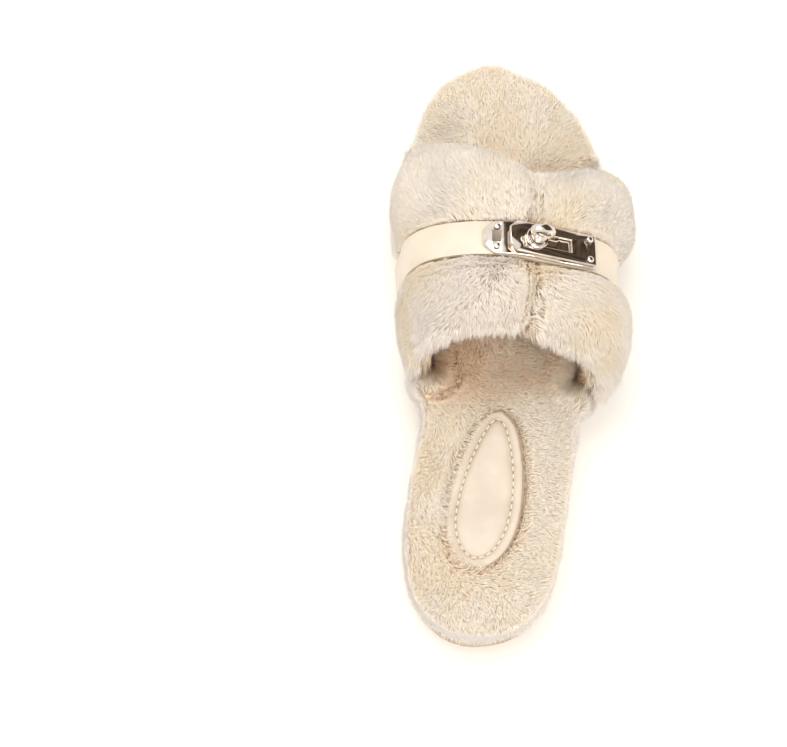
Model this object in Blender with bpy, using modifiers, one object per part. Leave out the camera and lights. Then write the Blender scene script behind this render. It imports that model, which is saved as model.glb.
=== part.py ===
"""A right-foot house slide in long-pile faux fur, with a strap and a turn-lock buckle over the instep.

Frame: +Z up, +Y towards the toe, +X towards the outer side of the foot. The origin is on the
ground under the middle of the object. Every length is in metres; MM turns millimetres into them.
"""

import math

import bmesh
import bpy
import numpy as np
from mathutils import Matrix, Vector

MM = 0.001
GAP = 0.3 * MM  # between pieces that touch

# ---- sole stack, from the ground up ----
# The outlines below are drawn from the middle of the sole's length. This point of them is the origin.
PLAN_CENTRE = (8.38 * MM, 0.0 * MM)
# Outline of the sole in millimetres (x, y): heel, outer side, toe, big-toe side.
SOLE_OUTLINE_MM = (
    (0, -127), (17, -122), (26.5, -109), (30.5, -90), (33, -66), (36, -40), (40, -12),
    (46, 18), (48, 45), (45.5, 72), (39.5, 92), (30.5, 109), (16, 121.5),
    (-4, 127), (-20, 121), (-29, 109), (-33, 92), (-36.5, 72), (-38.5, 48), (-36.5, 22),
    (-30, -5), (-23.5, -32), (-25, -52), (-28, -75), (-28, -95), (-24, -112), (-14, -123.5),
)
OUTLINE_STEPS = 3
OUTSOLE_LIP = 0.8 * MM
OUTSOLE_THICK = 4.0 * MM
MIDSOLE_THICK = 8.7 * MM
BOARD_THICK = 1.5 * MM
FOOTBED_FOAM_THICK = 3.5 * MM
PILE_THICK = 7.0 * MM
PILE_OVERHANG = 3.6 * MM  # how far the footbed's pile stands out over the edge of the sole
BOARD_INSET = 3.0 * MM
MIDSOLE_BEVEL = 1.2 * MM
# Where the upper comes down beside the footbed: its ends along y, and how far in from the sole's edge.
REAR_CLEARANCE = {"lateral": -22.0 * MM, "medial": -19.0 * MM}
FRONT_CLEARANCE = 86 * MM
LATERAL_CLEARANCE = 6.6 * MM
MEDIAL_CLEARANCE = 9.4 * MM
# Heights along the sole in millimetres (y, rise): toe spring lifts all, the heel wedge only what is above.
TOE_SPRING_MM = ((-130, 0), (55, 0), (75, 0.6), (95, 2.2), (110, 4.0), (133, 7.0))
HEEL_WEDGE_MM = ((-130, 4.0), (-60, 4.0), (-40, 3.5), (-20, 2.5), (0, 1.3), (20, 0.4), (40, 0), (133, 0))

# ---- tread ----
TREAD_DEPTH = 1.2 * MM
TREAD_WIDTH = 2.4 * MM
TREAD_SLOPE = 0.35
TREAD_PITCH = 8.0 * MM
TREAD_ZONES = ((-106 * MM, -62 * MM, 19 * MM), (14 * MM, 100 * MM, 24 * MM))  # from, to, half width

# ---- heel pad ----
HEEL_PAD_OUTLINE_MM = (
    (5.5, -32), (12.5, -38), (16, -52), (17, -66), (15.5, -82), (10, -95), (1, -101.5),
    (-8.5, -99), (-14, -89), (-14.5, -77), (-11.5, -62), (-7, -48), (-1.5, -37),
)
PAD_RECESS_DEPTH = 5.0 * MM
PAD_FOAM_THICK = 2.3 * MM
PAD_COVER_THICK = 2.4 * MM
PAD_STITCH_INSET = 4.2 * MM
THREAD_RADIUS = 0.4 * MM

# ---- upper ----
# Cross-section of the upper from the big-toe side over the instep to the outer side, as
# (share of the half width, share of the height).
ARCH = (
    (-0.97, 0.0), (-0.99, 0.14), (-1.0, 0.32), (-0.94, 0.62), (-0.72, 0.86), (-0.32, 0.99),
    (0.06, 0.985), (0.42, 0.875), (0.80, 0.755), (0.96, 0.56), (1.0, 0.32), (0.99, 0.12), (0.97, 0.0),
)
# Height of the upper's crest above the ground in millimetres, along y.
CREST_MM = ((-30, 73), (0, 69.5), (28, 66), (60, 60.5), (90, 54))
MEDIAL_TUCK = 1.7 * MM  # the arch stays this far inside the sole's edge, big-toe side
LATERAL_TUCK = 0.5 * MM
# How far the walls lean out past that in millimetres, along y, and the share of the height where they do.
MEDIAL_FLARE_MM = ((-30, 4.0), (-10, 2.2), (8, -1.0), (20, -3.2), (36, -3.2), (50, -1.0), (64, 0), (90, 0))
LATERAL_FLARE_MM = ((-30, 8.0), (-10, 6.0), (10, 2.8), (30, 0.5), (90, 0))
FLARE_RISE = 0.32
ARCH_PROPORTIONS = (40, 50)  # half width to height, for spacing points evenly along the arch
BASE_GAP = 0.5 * MM
LEVELLED_HEIGHT = 12 * MM
SEAM_ACROSS = 0.20  # share of the half width at which the centre seam runs
ARCH_STEPS = 36
# Front and rear edges of the upper in millimetres, along the arch from 0 to 1.
FRONT_EDGE_MM = ((0.0, 79), (0.25, 77), (0.42, 72), (0.56, 61), (0.68, 64.5), (0.85, 75), (1.0, 78))
REAR_EDGE_MM = ((0.0, -18), (0.25, -13), (0.45, -10), (0.56, -9), (0.7, -14), (0.85, -19), (1.0, -21))
# Layers, as offsets outwards from the middle of the interlining.
LINING = (-3.7 * MM, -0.7 * MM)
INTERLINING = (-0.4 * MM, 0.4 * MM)
SEAM_TAPE = (0.7 * MM, 1.2 * MM)
FUR_INNER = 1.5 * MM
FUR_UNDER_STRAP = 2.8 * MM
STRAP_BACKING = (4.0 * MM, 4.9 * MM)
STRAP_COVER = (5.2 * MM, 6.6 * MM)
# How far the fur rolls stand out in millimetres, along the arch, and the shape of a roll from
# its free edge (0) to the strap (1).
ROLL_HEIGHT_MM = (
    (0.0, 4.5), (0.08, 7.5), (0.2, 9.0), (0.45, 12.0), (0.6, 11.5), (0.8, 13.5), (0.93, 13.0), (1.0, 8.0),
)
ROLL_SHAPE = (
    (0.0, 0.34), (0.08, 0.66), (0.22, 0.9), (0.42, 1.0), (0.64, 0.97), (0.82, 0.8), (0.94, 0.45), (1.0, 0.0),
)
SEAM_DIP = 0.35
SEAM_DIP_WIDTH = 0.045
SEAM_HALF_GAP = 0.9 * MM
TAPE_HALF_WIDTH = 4.5 * MM
INTERLINING_SETBACK = 3.0 * MM  # of its edges behind the fur's
LINING_SETBACK = 1.0 * MM

# ---- strap ----
STRAP_Y = 27.9 * MM
STRAP_WIDTH = 15.6 * MM
STRAP_SIDE_GAP = 0.4 * MM

# ---- buckle: u runs along the strap towards the outer side, w towards the toe, h off the strap ----
LOCK_X = 16.0 * MM
BASE_PLATE_U = (-21.0 * MM, 27.6 * MM)
BASE_PLATE_WIDTH = 15.2 * MM
BASE_PLATE_CORNER = 4.2 * MM
BASE_PLATE_H = (0.45 * MM, 1.55 * MM)
BASE_PLATE_BEVEL = 0.25 * MM
BASE_PLATE_BENDS = 24  # it follows the strap's curve
CUT_REACH = 8 * MM
HASP_U = (-11.8 * MM, 27.4 * MM)
HASP_WIDTH = 14.4 * MM
HASP_CORNER = 3.4 * MM
HASP_H = (1.85 * MM, 3.25 * MM)
HASP_BEVEL = 0.45 * MM
SLOT_U = (-3.2 * MM, 16.0 * MM)
SLOT_WIDTH = 5.8 * MM
RIVET_ACROSS = 4.7 * MM
BASE_RIVET_X = 0.6 * MM
HASP_RIVET_X = 38.6 * MM
RIVET_SHANK_RADIUS = 0.8 * MM
RIVET_HEAD_RADIUS = 1.5 * MM
RIVET_HEAD_HEIGHT = 0.8 * MM
RIVET_RIM_HEIGHT = 0.15 * MM
WASHER_RADIUS = 2.0 * MM
TILT_ROOM = 0.3 * MM  # under the outer rivets' heads, which follow the strap and not the flat hasp
HOLE_CLEARANCE = 0.4 * MM
BACK_SPACE = 3.15 * MM - STRAP_COVER[1]  # behind the backing, measured from the strap's face
BACK_PLATE_THICK = 0.4 * MM
POST_RADIUS = 1.4 * MM
POST_TAIL_RADIUS = 2.7 * MM
POST_HEAD_RADIUS = 2.0 * MM
COLLAR_RADIUS = 4.9 * MM
COLLAR_H = (3.55 * MM, 4.65 * MM)
COLLAR_EDGE = 0.35 * MM
SPRING_RADIUS = 3.2 * MM
SPRING_THICK = 0.35 * MM
SPRING_WAVE = 0.12 * MM
KNOB_FOOT_RADIUS = 3.3 * MM
KNOB_FOOT_H = (5.8 * MM, 7.3 * MM)
LOOP_CENTRE_H = 9.7 * MM
LOOP_HALF_LENGTH = 4.3 * MM
LOOP_HALF_HEIGHT = 2.6 * MM
LOOP_RADIUS = 1.25 * MM
LOOP_WIDENING = 1.5  # of the ring's section, across the strap
LOOP_FLOOR = LOOP_CENTRE_H - LOOP_HALF_HEIGHT + LOOP_RADIUS  # the lowest point of the ring's hole
KNOB_FOOT_DOME = 1.0 * MM

COLOURS = {
    "rubber": ((0.72, 0.62, 0.48), 0.75, 0.0),
    "foam": ((0.90, 0.86, 0.78), 0.85, 0.0),
    "board": ((0.55, 0.42, 0.28), 0.8, 0.0),
    "fur": ((0.88, 0.79, 0.64), 0.95, 0.0),
    "leather": ((0.90, 0.82, 0.66), 0.42, 0.0),
    "thread": ((0.83, 0.74, 0.60), 0.8, 0.0),
    "textile": ((0.70, 0.60, 0.46), 0.9, 0.0),
    "metal": ((0.62, 0.57, 0.53), 0.16, 1.0),
}


# ---- scene and materials ----
def clear_scene():
    for old in list(bpy.data.objects):
        bpy.data.objects.remove(old, do_unlink=True)


def new_collection(name):
    collection = bpy.data.collections.new(name)
    bpy.context.scene.collection.children.link(collection)
    return collection


def make_material(name, colour):
    base, roughness, metallic = COLOURS[colour]
    material = bpy.data.materials.new(name)
    material.use_nodes = True
    shader = material.node_tree.nodes["Principled BSDF"]
    shader.inputs["Base Color"].default_value = (*base, 1.0)
    shader.inputs["Roughness"].default_value = roughness
    shader.inputs["Metallic"].default_value = metallic
    return material


def add_empty(name, parent=None, matrix=None):
    empty = bpy.data.objects.new(name, None)
    PARTS.objects.link(empty)
    empty.parent = parent
    empty.matrix_local = matrix or Matrix()
    return empty


def add_part(name, mesh, colour, parent=None, matrix=None):
    """Puts a finished mesh into the slipper's collection with a material of its own."""
    mesh.name = name
    mesh.materials.clear()
    mesh.materials.append(make_material(name, colour))
    mesh.shade_smooth()
    mesh.set_sharp_from_angle(angle=math.radians(35))
    part = bpy.data.objects.new(name, mesh)
    PARTS.objects.link(part)
    part.parent = parent or ROOT
    part.matrix_local = matrix or Matrix()
    return part


def add_cutter(name, mesh, matrix=None):
    cutter = bpy.data.objects.new(name, mesh)
    CUTTERS.objects.link(cutter)
    cutter.hide_render = True
    cutter.display_type = "WIRE"
    cutter.parent = ROOT
    cutter.matrix_local = matrix or Matrix()
    return cutter


def cut(part, *cutters):
    for cutter in cutters:
        boolean = part.modifiers.new("cut_" + cutter.name, "BOOLEAN")
        boolean.operation = "DIFFERENCE"
        boolean.solver = "EXACT"
        boolean.object = cutter


def join(part, addition):
    boolean = part.modifiers.new("join_" + addition.name, "BOOLEAN")
    boolean.operation = "UNION"
    boolean.solver = "EXACT"
    boolean.object = addition


def evaluated_mesh(thing):
    """The thing's mesh with its modifiers applied and its loose caps welded."""
    bpy.context.view_layer.update()
    graph = bpy.context.evaluated_depsgraph_get()
    mesh = bpy.data.meshes.new_from_object(thing.evaluated_get(graph))
    shape = bmesh.new()
    shape.from_mesh(mesh)
    bmesh.ops.remove_doubles(shape, verts=shape.verts, dist=1e-6)
    bmesh.ops.recalc_face_normals(shape, faces=shape.faces)
    shape.to_mesh(mesh)
    shape.free()
    return mesh


def settle(part):
    """Replaces a part's mesh with its modified one, so that it can be shaped further."""
    mesh = evaluated_mesh(part)
    part.modifiers.clear()
    part.data = mesh
    return part


# ---- curves ----
def spline(points, steps, closed):
    """A Catmull-Rom spline through the points, as an array."""
    points = np.asarray(points, float)
    count = len(points)
    spans = count if closed else count - 1
    curve = []
    for span in range(spans):
        if closed:
            near = [points[(span + k) % count] for k in (-1, 0, 1, 2)]
        else:
            near = [points[min(max(span + k, 0), count - 1)] for k in (-1, 0, 1, 2)]
        for step in range(steps):
            t = step / steps
            curve.append(
                0.5 * (2 * near[1] + (near[2] - near[0]) * t
                       + (2 * near[0] - 5 * near[1] + 4 * near[2] - near[3]) * t**2
                       + (3 * near[1] - near[0] - 3 * near[2] + near[3]) * t**3)
            )
    if not closed:
        curve.append(points[-1])
    return np.array(curve)


def grown(outline, distance):
    """The closed outline moved outwards by a distance."""
    along = np.roll(outline, -1, axis=0) - np.roll(outline, 1, axis=0)
    along /= np.linalg.norm(along, axis=1)[:, None]
    outward = np.stack([along[:, 1], -along[:, 0]], axis=1)
    return outline + distance * outward


def along_table(table, position):
    """A value read along a table of (position, value) pairs, both in the table's own unit."""
    places, values = zip(*table)
    return float(np.interp(position, places, values))


def slab_mesh(outlines, bottom, top):
    """A flat body: one or more closed outlines, filled and extruded from bottom to top."""
    curve = bpy.data.curves.new("outline", "CURVE")
    curve.dimensions = "2D"
    curve.fill_mode = "BOTH"
    curve.extrude = (top - bottom) / 2
    for outline in outlines:
        poly = curve.splines.new("POLY")
        poly.points.add(len(outline) - 1)
        for point, (x, y) in zip(poly.points, outline):
            point.co = (x, y, 0, 1)
        poly.use_cyclic_u = True
    holder = bpy.data.objects.new("outline", curve)
    bpy.context.scene.collection.objects.link(holder)
    mesh = evaluated_mesh(holder)
    bpy.data.objects.remove(holder, do_unlink=True)
    mesh.transform(Matrix.Translation((0, 0, (bottom + top) / 2)))
    return mesh


def tube_mesh(path, radius, closed, resolution=1):
    """A round thread along a path of points."""
    curve = bpy.data.curves.new("tube", "CURVE")
    curve.dimensions = "3D"
    curve.bevel_depth = radius
    curve.bevel_resolution = resolution
    curve.use_fill_caps = True
    poly = curve.splines.new("POLY")
    poly.points.add(len(path) - 1)
    for point, place in zip(poly.points, path):
        point.co = (*place, 1)
    poly.use_cyclic_u = closed
    holder = bpy.data.objects.new("tube", curve)
    bpy.context.scene.collection.objects.link(holder)
    mesh = evaluated_mesh(holder)
    bpy.data.objects.remove(holder, do_unlink=True)
    return mesh


def turned_mesh(profile, segments=20):
    """A body turned about Z from a closed profile of (radius, height) points, top to bottom outside."""
    mesh = bpy.data.meshes.new("profile")
    points = [(radius, 0, height) for radius, height in profile]
    edges = [(i, i + 1) for i in range(len(points) - 1)]
    if profile[0][0] > 0:
        edges.append((len(points) - 1, 0))
    mesh.from_pydata(points, edges, [])
    holder = bpy.data.objects.new("profile", mesh)
    bpy.context.scene.collection.objects.link(holder)
    screw = holder.modifiers.new("turn", "SCREW")
    screw.steps = segments
    screw.render_steps = segments
    screw.use_merge_vertices = True
    screw.merge_threshold = 0.00001
    turned = evaluated_mesh(holder)
    bpy.data.objects.remove(holder, do_unlink=True)
    return turned


def cylinder_mesh(radius, bottom, top, segments=16):
    return turned_mesh(((0, top), (radius, top), (radius, bottom), (0, bottom)), segments)


# ---- the sole's plan and levels ----
SOLE_OUTLINE = spline(SOLE_OUTLINE_MM, OUTLINE_STEPS, closed=True) * MM
TOE_INDEX = int(SOLE_OUTLINE[:, 1].argmax())
LATERAL_SIDE = SOLE_OUTLINE[: TOE_INDEX + 1]
MEDIAL_SIDE = np.vstack([SOLE_OUTLINE[TOE_INDEX:], SOLE_OUTLINE[:1]])[::-1]
STATIONS = sorted({y * MM for y, _ in TOE_SPRING_MM + HEEL_WEDGE_MM})

MIDSOLE_BOTTOM = OUTSOLE_THICK + GAP
MIDSOLE_TOP = MIDSOLE_BOTTOM + MIDSOLE_THICK
BOARD_BOTTOM = MIDSOLE_TOP + GAP
BOARD_TOP = BOARD_BOTTOM + BOARD_THICK
FOAM_BOTTOM = BOARD_TOP + GAP
FOAM_TOP = FOAM_BOTTOM + FOOTBED_FOAM_THICK
PILE_TOP = FOAM_TOP + GAP + PILE_THICK


def lateral_edge(y):
    return float(np.interp(y, LATERAL_SIDE[:, 1], LATERAL_SIDE[:, 0]))


def medial_edge(y):
    return float(np.interp(y, MEDIAL_SIDE[:, 1], MEDIAL_SIDE[:, 0]))


def lift(y, above_wedge):
    """How far a point of a sole layer is raised by the toe spring and the heel wedge."""
    rise = along_table(TOE_SPRING_MM, y / MM)
    if above_wedge:
        rise += along_table(HEEL_WEDGE_MM, y / MM)
    return rise * MM


def drape(mesh, wedge_above):
    """Bends a flat layer to the sole's line. wedge_above is the level from which the wedge counts."""
    shape = bmesh.new()
    shape.from_mesh(mesh)
    for y in STATIONS:
        geometry = shape.verts[:] + shape.edges[:] + shape.faces[:]
        bmesh.ops.bisect_plane(shape, geom=geometry, dist=1e-6, plane_co=(0, y, 0), plane_no=(0, 1, 0))
    for vertex in shape.verts:
        vertex.co.z += lift(vertex.co.y, vertex.co.z > wedge_above)
    bmesh.ops.triangulate(shape, faces=shape.faces)
    shape.to_mesh(mesh)
    shape.free()


def tread_outlines():
    """Chevron grooves across the heel and the ball."""
    outlines = []
    for start, end, half in TREAD_ZONES:
        for row in range(int((end - start) / TREAD_PITCH) + 1):
            y = start + row * TREAD_PITCH
            middle = (lateral_edge(y) + medial_edge(y)) / 2
            tip = half * TREAD_SLOPE
            outlines.append(
                [
                    (middle - half, y), (middle, y + tip), (middle + half, y),
                    (middle + half, y + TREAD_WIDTH), (middle, y + tip + TREAD_WIDTH),
                    (middle - half, y + TREAD_WIDTH),
                ]
            )
    return outlines


def make_outsole():
    mesh = slab_mesh([grown(SOLE_OUTLINE, OUTSOLE_LIP)], 0, OUTSOLE_THICK)
    outsole = add_part("outsole", mesh, "rubber")
    grooves = slab_mesh(tread_outlines(), -TREAD_DEPTH, TREAD_DEPTH)
    cut(outsole, add_cutter("tread_cutter", grooves))
    settle(outsole)
    drape(outsole.data, wedge_above=1.0)


def make_midsole():
    mesh = slab_mesh([SOLE_OUTLINE], MIDSOLE_BOTTOM, MIDSOLE_TOP)
    midsole = add_part("midsole", mesh, "foam")
    bevel = midsole.modifiers.new("rounded_edge", "BEVEL")
    bevel.width = MIDSOLE_BEVEL
    bevel.segments = 1
    bevel.limit_method = "ANGLE"
    bevel.angle_limit = math.radians(60)
    settle(midsole)
    drape(midsole.data, wedge_above=(MIDSOLE_BOTTOM + MIDSOLE_TOP) / 2)


def upper_clearance(side, inset, reach=25 * MM):
    """Outline of the strip beside the footbed that the upper's layers stand in."""
    ys = np.linspace(REAR_CLEARANCE[side] + inset, FRONT_CLEARANCE - inset, 12)
    if side == "lateral":
        inner = [(lateral_edge(y) - LATERAL_CLEARANCE + inset, y) for y in ys]
        outer = [(lateral_edge(y) + reach, y) for y in ys[::-1]]
    else:
        inner = [(medial_edge(y) + MEDIAL_CLEARANCE - inset, y) for y in ys]
        outer = [(medial_edge(y) - reach, y) for y in ys[::-1]]
    return inner + outer


def footbed_slab(name, growth, inset, bottom, top):
    """A footbed layer: the sole's outline, narrowed where the upper's layers come down beside it."""
    holder = add_cutter(name, slab_mesh([grown(SOLE_OUTLINE, growth)], bottom, top))
    for side in ("lateral", "medial"):
        strip = slab_mesh([upper_clearance(side, -inset)], bottom - 5 * MM, top + 5 * MM)
        cut(holder, add_cutter(f"{name}_{side}_cutter", strip))
    return settle(holder)


def make_insole_board():
    flat = footbed_slab("board_shape", -BOARD_INSET, BOARD_INSET, BOARD_BOTTOM, BOARD_TOP)
    drape(flat.data, wedge_above=0)
    add_part("insole_board", flat.data, "board")
    bpy.data.objects.remove(flat, do_unlink=True)


def make_footbed_foam():
    flat = footbed_slab("foam_shape", -BOARD_INSET, BOARD_INSET, FOAM_BOTTOM, FOAM_TOP)
    drape(flat.data, wedge_above=0)
    add_part("footbed_foam", flat.data, "foam")
    bpy.data.objects.remove(flat, do_unlink=True)


def make_footbed_fur():
    """The pile over the footbed, wrapped down over the edges of the foam and the board."""
    shape = footbed_slab("fur_shape", PILE_OVERHANG, 0, BOARD_BOTTOM, PILE_TOP)
    fur = add_part("footbed_fur", shape.data, "fur")
    bpy.data.objects.remove(shape, do_unlink=True)
    room = -BOARD_INSET + GAP
    hollow = footbed_slab("footbed_hollow_cutter", room, -room, BOARD_BOTTOM - 5 * MM, FOAM_TOP + GAP)
    recess = slab_mesh([grown(PAD_OUTLINE, 0.6 * MM)], PILE_TOP - PAD_RECESS_DEPTH, PILE_TOP + 5 * MM)
    cut(fur, hollow, add_cutter("pad_recess_cutter", recess))
    settle(fur)
    drape(fur.data, wedge_above=0)


# ---- heel pad ----
PAD_CONTROL = np.array(HEEL_PAD_OUTLINE_MM)[::-1] * MM
PAD_OUTLINE = spline(PAD_CONTROL, OUTLINE_STEPS, closed=True)
PAD_FOAM_BOTTOM = PILE_TOP - PAD_RECESS_DEPTH + GAP
PAD_COVER_BOTTOM = PAD_FOAM_BOTTOM + PAD_FOAM_THICK + GAP
PAD_COVER_TOP = PAD_COVER_BOTTOM + PAD_COVER_THICK


def make_heel_pad():
    foam = slab_mesh([grown(PAD_OUTLINE, -1.0 * MM)], PAD_FOAM_BOTTOM, PAD_FOAM_BOTTOM + PAD_FOAM_THICK)
    drape(foam, wedge_above=0)
    add_part("heel_pad_foam", foam, "foam")
    cover = add_part("heel_pad_cover", slab_mesh([PAD_OUTLINE], PAD_COVER_BOTTOM, PAD_COVER_TOP), "leather")
    stitch_line = spline(grown(PAD_CONTROL, -PAD_STITCH_INSET), OUTLINE_STEPS, closed=True)
    path = [(x, y, PAD_COVER_TOP) for x, y in stitch_line]
    channel = tube_mesh(path, THREAD_RADIUS + GAP + 0.1 * MM, True)
    cut(cover, add_cutter("stitch_channel_cutter", channel))
    settle(cover)
    drape(cover.data, wedge_above=0)
    thread = tube_mesh(path, THREAD_RADIUS, True)
    drape(thread, wedge_above=0)
    add_part("heel_pad_stitching", thread, "thread")


# ---- the upper's surface ----
ARCH_CURVE = spline(ARCH, 12, closed=False)
ARCH_RUNS = np.linalg.norm(np.diff(ARCH_CURVE * ARCH_PROPORTIONS, axis=0), axis=1)
ARCH_PLACES = np.concatenate([[0], np.cumsum(ARCH_RUNS)]) / ARCH_RUNS.sum()
SEAM_T = float(ARCH_PLACES[np.abs(ARCH_CURVE - (SEAM_ACROSS, 0.94)).sum(axis=1).argmin()])


def arch_floor(y):
    return MIDSOLE_TOP + BASE_GAP + lift(y, True)


def arch_base(y, t):
    """A point of the interlining's middle surface, (x, z), at a station y and a share t of the arch."""
    left = medial_edge(y) + MEDIAL_TUCK
    right = lateral_edge(y) - LATERAL_TUCK
    across = np.interp(t, ARCH_PLACES, ARCH_CURVE[:, 0])
    up = np.interp(t, ARCH_PLACES, ARCH_CURVE[:, 1])
    floor = arch_floor(y)
    crest = along_table(CREST_MM, y / MM) * MM
    flare = LATERAL_FLARE_MM if across > 0 else MEDIAL_FLARE_MM
    lean = along_table(flare, y / MM) * MM * across * abs(across) * min(1, up / FLARE_RISE)
    x = (left + right) / 2 + across * (right - left) / 2 + lean
    return np.array([x, floor + up * (crest - floor)])


def arch_point(y, t, offset):
    """A point at an offset outwards from the interlining's middle surface, (x, y, z).

    Near the sole the offset runs level, so that every layer ends on the sole's top.
    """
    step = 0.012
    tangent = arch_base(y, min(t + step, 1)) - arch_base(y, max(t - step, 0))
    tangent /= np.linalg.norm(tangent)
    x, z = arch_base(y, t)
    levelling = min(1.0, (z - arch_floor(y)) / LEVELLED_HEIGHT)
    normal = np.array([-tangent[1], tangent[0] * levelling])
    x, z = (x, z) + offset * normal / np.linalg.norm(normal)
    return (x, y, z)


def front_edge(t):
    return along_table(FRONT_EDGE_MM, t) * MM


def rear_edge(t):
    return along_table(REAR_EDGE_MM, t) * MM


def loft_between(inner, outer):
    """A closed skin between two grids of points with the same rows and columns."""
    rows, columns = len(inner), len(inner[0])
    shape = bmesh.new()
    low = [[shape.verts.new(point) for point in row] for row in inner]
    high = [[shape.verts.new(point) for point in row] for row in outer]
    for i in range(rows - 1):
        for j in range(columns - 1):
            shape.faces.new((high[i][j], high[i + 1][j], high[i + 1][j + 1], high[i][j + 1]))
            shape.faces.new((low[i][j], low[i][j + 1], low[i + 1][j + 1], low[i + 1][j]))
    for i in range(rows - 1):
        for j in (0, columns - 1):
            shape.faces.new((low[i][j], low[i + 1][j], high[i + 1][j], high[i][j]))
    for j in range(columns - 1):
        for i in (0, rows - 1):
            shape.faces.new((low[i][j], high[i][j], high[i][j + 1], low[i][j + 1]))
    bmesh.ops.recalc_face_normals(shape, faces=shape.faces)
    bmesh.ops.triangulate(shape, faces=shape.faces)
    mesh = bpy.data.meshes.new("loft")
    shape.to_mesh(mesh)
    shape.free()
    return mesh


def arch_stations(start, end, steps=ARCH_STEPS):
    """Shares of the arch from start to end, on the common spacing of every layer."""
    inside = [i / steps for i in range(steps + 1)]
    margin = 0.3 / steps
    return [start] + [t for t in inside if start + margin < t < end - margin] + [end]


def even_layer(offsets, start, end, setback, columns=7):
    """A layer of even thickness that follows the upper's edges, setback behind them."""
    grids = []
    for offset in offsets:
        grid = []
        for t in arch_stations(start, end):
            ys = np.linspace(rear_edge(t) + setback, front_edge(t) - setback, columns + 1)
            grid.append([arch_point(y, t, offset) for y in ys])
        grids.append(grid)
    return loft_between(*grids)


def roll_profile(t):
    """(y, offset) pairs of the fur's face, from the rear edge over both rolls to the front edge."""
    dip = 1 - SEAM_DIP * math.exp(-(((t - SEAM_T) / SEAM_DIP_WIDTH) ** 2))
    height = along_table(ROLL_HEIGHT_MM, t) * MM * dip
    half = STRAP_WIDTH / 2 + STRAP_SIDE_GAP
    face = []
    for edge, valley, shape in (
        (rear_edge(t), STRAP_Y - half, ROLL_SHAPE),
        (front_edge(t), STRAP_Y + half, ROLL_SHAPE[::-1]),
    ):
        for share, bulge in shape:
            thickness = FUR_UNDER_STRAP + (height - FUR_UNDER_STRAP) * bulge
            face.append((edge + share * (valley - edge), thickness))
    return face


def make_fur_panel(name, start, end):
    inner, outer = [], []
    for t in arch_stations(start, end):
        face = roll_profile(t)
        outer.append([arch_point(y, t, thickness) for y, thickness in face])
        inner.append([arch_point(y, t, FUR_INNER) for y, _ in face])
    add_part(name, loft_between(inner, outer), "fur")


def arch_share(distance):
    """A distance along the arch at the strap, as a share of the whole arch."""
    points = np.array([arch_base(STRAP_Y, t) for t in np.linspace(0, 1, 101)])
    return distance / np.linalg.norm(np.diff(points, axis=0), axis=1).sum()


def make_upper():
    add_part("upper_lining", even_layer(LINING, 0, 1, LINING_SETBACK), "fur")
    add_part("upper_interlining", even_layer(INTERLINING, 0, 1, INTERLINING_SETBACK), "textile")
    half = arch_share(TAPE_HALF_WIDTH)
    tape = even_layer(SEAM_TAPE, SEAM_T - half, SEAM_T + half, INTERLINING_SETBACK)
    add_part("seam_tape", tape, "textile")
    gap = arch_share(SEAM_HALF_GAP)
    make_fur_panel("upper_fur_medial", 0, SEAM_T - gap)
    make_fur_panel("upper_fur_lateral", SEAM_T + gap, 1)
    make_seam_stitching()


def make_seam_stitching(stitches=22):
    """The centre seam's thread, a shallow zigzag in the gap between the two panels."""
    sway = arch_share(0.25 * MM)
    offset = (FUR_INNER + FUR_UNDER_STRAP) / 2
    ys = np.linspace(rear_edge(SEAM_T) + 1.5 * MM, front_edge(SEAM_T) - 1.5 * MM, stitches)
    path = [arch_point(y, SEAM_T + sway * (-1) ** i, offset) for i, y in enumerate(ys)]
    add_part("centre_seam_thread", tube_mesh(path, THREAD_RADIUS, False), "thread")


# ---- the strap and the frames on it ----
def strap_layer(offsets):
    grids = []
    for offset in offsets:
        ys = (STRAP_Y - STRAP_WIDTH / 2, STRAP_Y + STRAP_WIDTH / 2)
        stations = arch_stations(0, 1, 2 * ARCH_STEPS)
        grids.append([[arch_point(y, t, offset) for y in ys] for t in stations])
    return loft_between(*grids)


def strap_face(y, t):
    return Vector(arch_point(y, t, STRAP_COVER[1]))


def strap_frame(x):
    """A frame on the strap's face at x: its X runs along the strap, its Z stands off it."""
    shares = np.linspace(0.3, 0.9, 601)
    at = min(shares, key=lambda t: abs(strap_face(STRAP_Y, t).x - x))
    along = (strap_face(STRAP_Y, at + 0.006) - strap_face(STRAP_Y, at - 0.006)).normalized()
    forward = strap_face(STRAP_Y + STRAP_WIDTH / 2, at) - strap_face(STRAP_Y - STRAP_WIDTH / 2, at)
    off = along.cross(forward).normalized()
    axes = Matrix((along, off.cross(along), off)).transposed()
    return Matrix.Translation(strap_face(STRAP_Y, at)) @ axes.to_4x4()


def strap_drop(u):
    """How far the strap's face lies below the plane that touches it at the lock."""
    shares = np.linspace(0.2, 0.95, 301)
    inverse = LOCK_FRAME.inverted()
    local = [inverse @ strap_face(STRAP_Y, t) for t in shares]
    return float(np.interp(u, [point.x for point in local], [point.z for point in local]))


def make_strap():
    holes = []
    for name, matrix, radius in HOLES:
        drill = cylinder_mesh(radius + HOLE_CLEARANCE, -CUT_REACH, CUT_REACH)
        holes.append(add_cutter(f"{name}_hole_cutter", drill, matrix))
    cover = add_part("strap_cover", strap_layer(STRAP_COVER), "leather")
    backing = add_part("strap_backing", strap_layer(STRAP_BACKING), "textile")
    cut(cover, *holes)
    cut(backing, *holes)
    return holes


# ---- buckle ----
def chamfered_outline(u_range, width, corner):
    """A plate's outline with its two inner-end corners cut off."""
    low, high = u_range
    half = width / 2
    return [
        (high, -half), (high, half), (low + corner, half), (low, half - corner),
        (low, corner - half), (low + corner, -half),
    ][::-1]


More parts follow.
